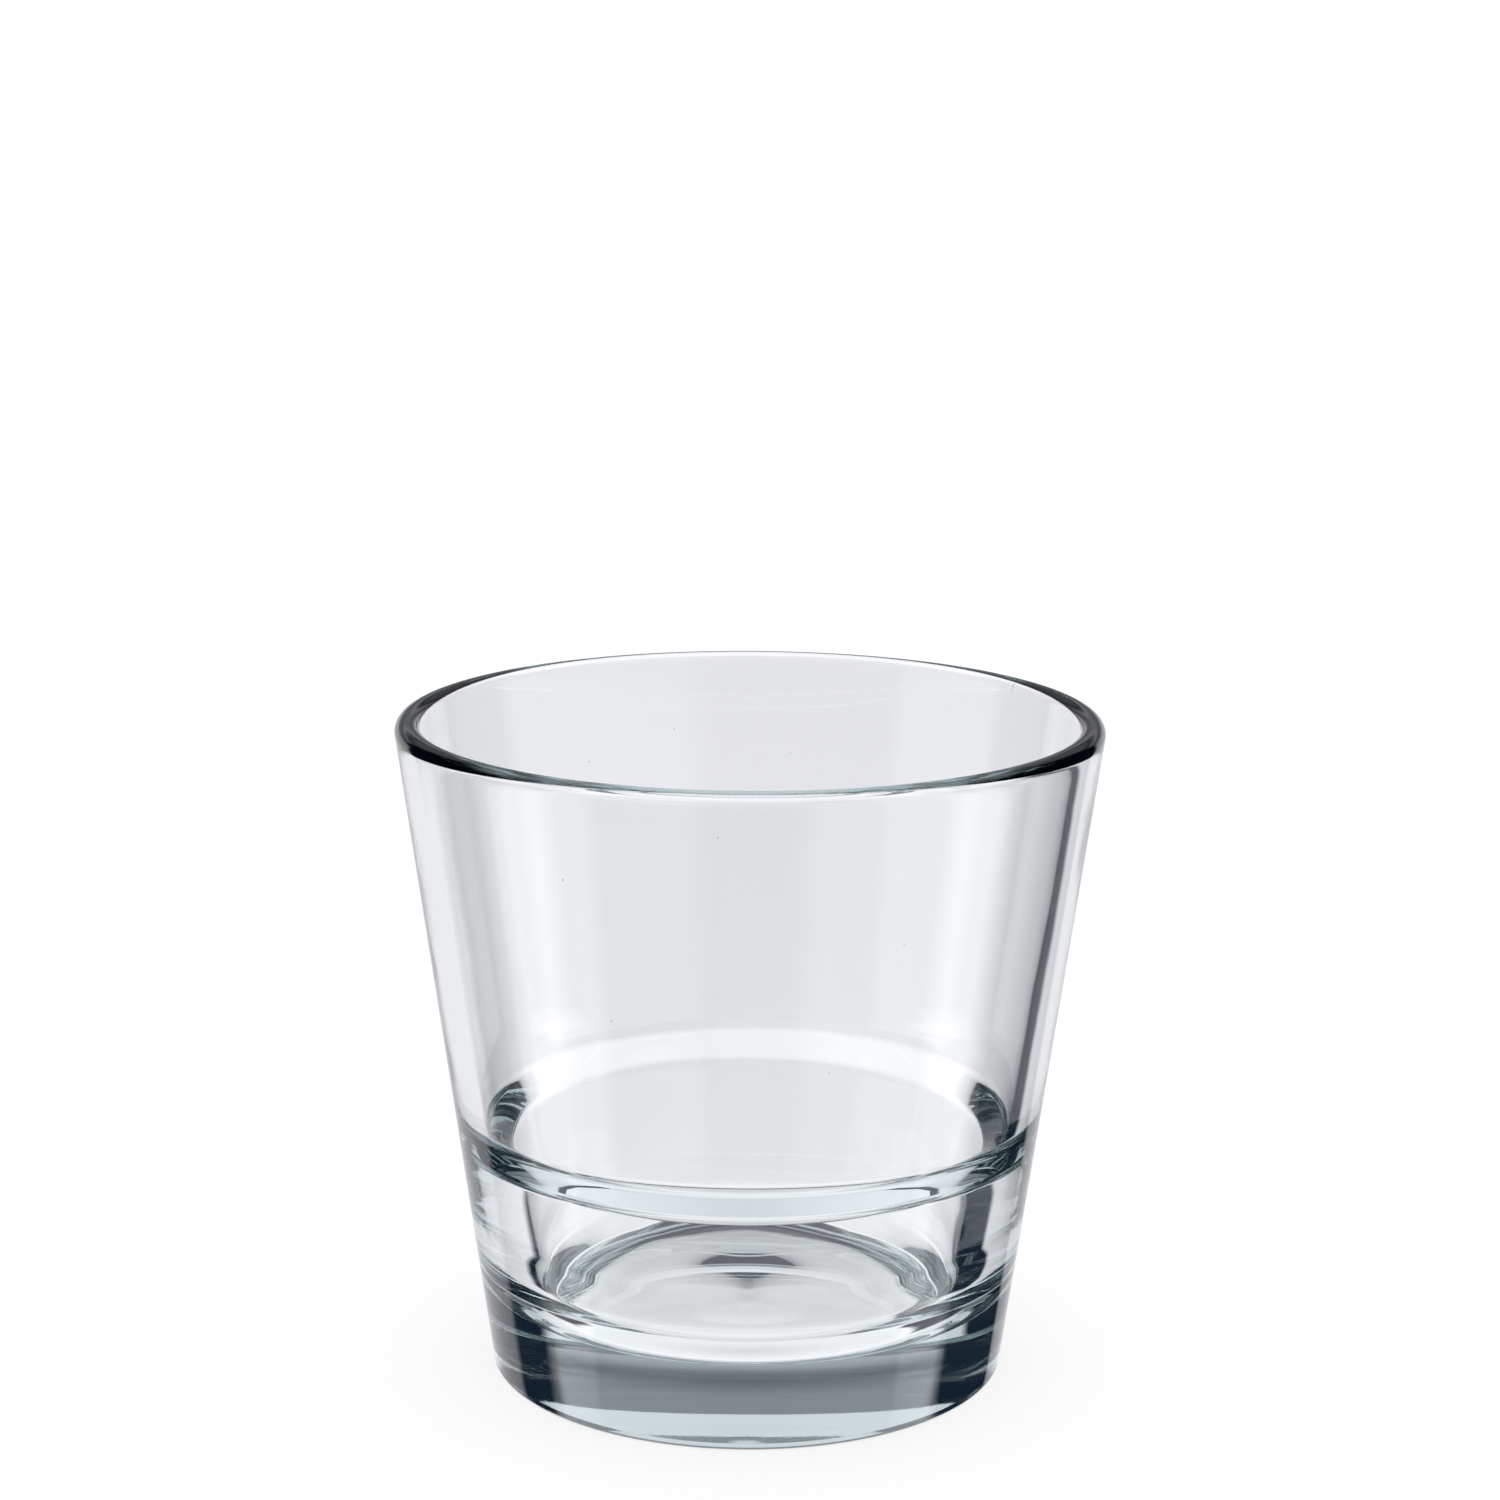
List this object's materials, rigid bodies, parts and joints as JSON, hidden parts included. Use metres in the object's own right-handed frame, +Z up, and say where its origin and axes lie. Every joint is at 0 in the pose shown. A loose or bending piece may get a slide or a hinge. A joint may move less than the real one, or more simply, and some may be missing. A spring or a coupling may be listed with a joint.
{
  "type": "whiskey tumbler",
  "caption": "Clear glass whiskey tumbler: straight cone outside, sloping stacking ledge inside, thick solid base on a low standing ring.",
  "frame": {"origin": "centre of the standing ring, at the level of the table", "axes": "+Z up along the glass's axis, through the mouth; +X and +Y are level and may be swapped, because the glass is round"},
  "size_m": [0.0916, 0.0916, 0.087],
  "materials": {
    "glass": "fire-polished clear soda-lime glass with a faint grey-green tint"
  },
  "bodies": {
    "root": {"tumbler": "glass"}
  },
  "joints": []
}
